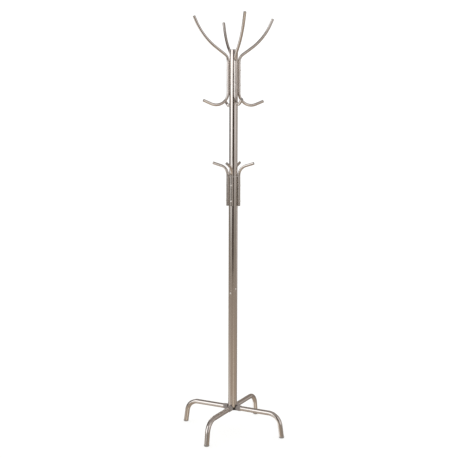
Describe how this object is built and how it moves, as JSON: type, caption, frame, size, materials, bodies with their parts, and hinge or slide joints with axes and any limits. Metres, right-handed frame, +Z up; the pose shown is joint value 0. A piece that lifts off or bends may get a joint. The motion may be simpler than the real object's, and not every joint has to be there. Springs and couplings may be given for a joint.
{
  "type": "standing coat rack",
  "caption": "Free-standing metal coat rack: round post on bent tube legs, double brackets with hat arms and coat hooks at the top, small hooks lower down; upper section turns.",
  "frame": {"origin": "on the floor, on the post's axis", "axes": "+Z up along the post, the front leg points along -Y and the right leg along +X"},
  "size_m": [0.487, 0.487, 1.7561],
  "materials": {
    "tube_nickel": "satin nickel plate",
    "fitting_grey": "satin grey",
    "screw_steel": "bright zinc",
    "inner_steel": "machined",
    "plug_plastic": "satin moulded",
    "foot_plastic": "satin moulded",
    "bush_plastic": "moulded acetal"
  },
  "bodies": {
    "stand": {"leg_fitting": "fitting_grey", "leg_screws": "screw_steel", "post_bolt": "screw_steel", "bolt_washer": "screw_steel", "post_plug": "inner_steel", "lower_post_tube": "tube_nickel", "joint_sleeve": "inner_steel", "middle_post_tube": "tube_nickel", "turning_bush": "bush_plastic", "small_hook_screws": "screw_steel", "joint_screws": "screw_steel", "leg_front": "tube_nickel", "foot_front": "foot_plastic", "small_hook_front": "tube_nickel", "small_hook_plug_front": "plug_plastic", "small_stem_plug_front": "plug_plastic", "leg_right": "tube_nickel", "foot_right": "foot_plastic", "small_hook_right": "tube_nickel", "small_hook_plug_right": "plug_plastic", "small_stem_plug_right": "plug_plastic", "leg_back": "tube_nickel", "foot_back": "foot_plastic", "small_hook_back": "tube_nickel", "small_hook_plug_back": "plug_plastic", "small_stem_plug_back": "plug_plastic", "leg_left": "tube_nickel", "foot_left": "foot_plastic", "small_hook_left": "tube_nickel", "small_hook_plug_left": "plug_plastic", "small_stem_plug_left": "plug_plastic"},
    "crown": {"turning_spigot": "inner_steel", "upper_post_tube": "tube_nickel", "top_cap": "plug_plastic", "bracket_screws": "screw_steel", "double_bracket_front": "tube_nickel", "hat_arm_plug_front": "plug_plastic", "coat_hook_plug_front": "plug_plastic", "double_bracket_right": "tube_nickel", "hat_arm_plug_right": "plug_plastic", "coat_hook_plug_right": "plug_plastic", "double_bracket_back": "tube_nickel", "hat_arm_plug_back": "plug_plastic", "coat_hook_plug_back": "plug_plastic", "double_bracket_left": "tube_nickel", "hat_arm_plug_left": "plug_plastic", "coat_hook_plug_left": "plug_plastic"}
  },
  "joints": [
    {"name": "crown_turn", "type": "hinge", "parent": "stand", "child": "crown", "pos_m": [0, 0, 1.0955], "axis": [0, 0, 1], "continuous": true}
  ]
}
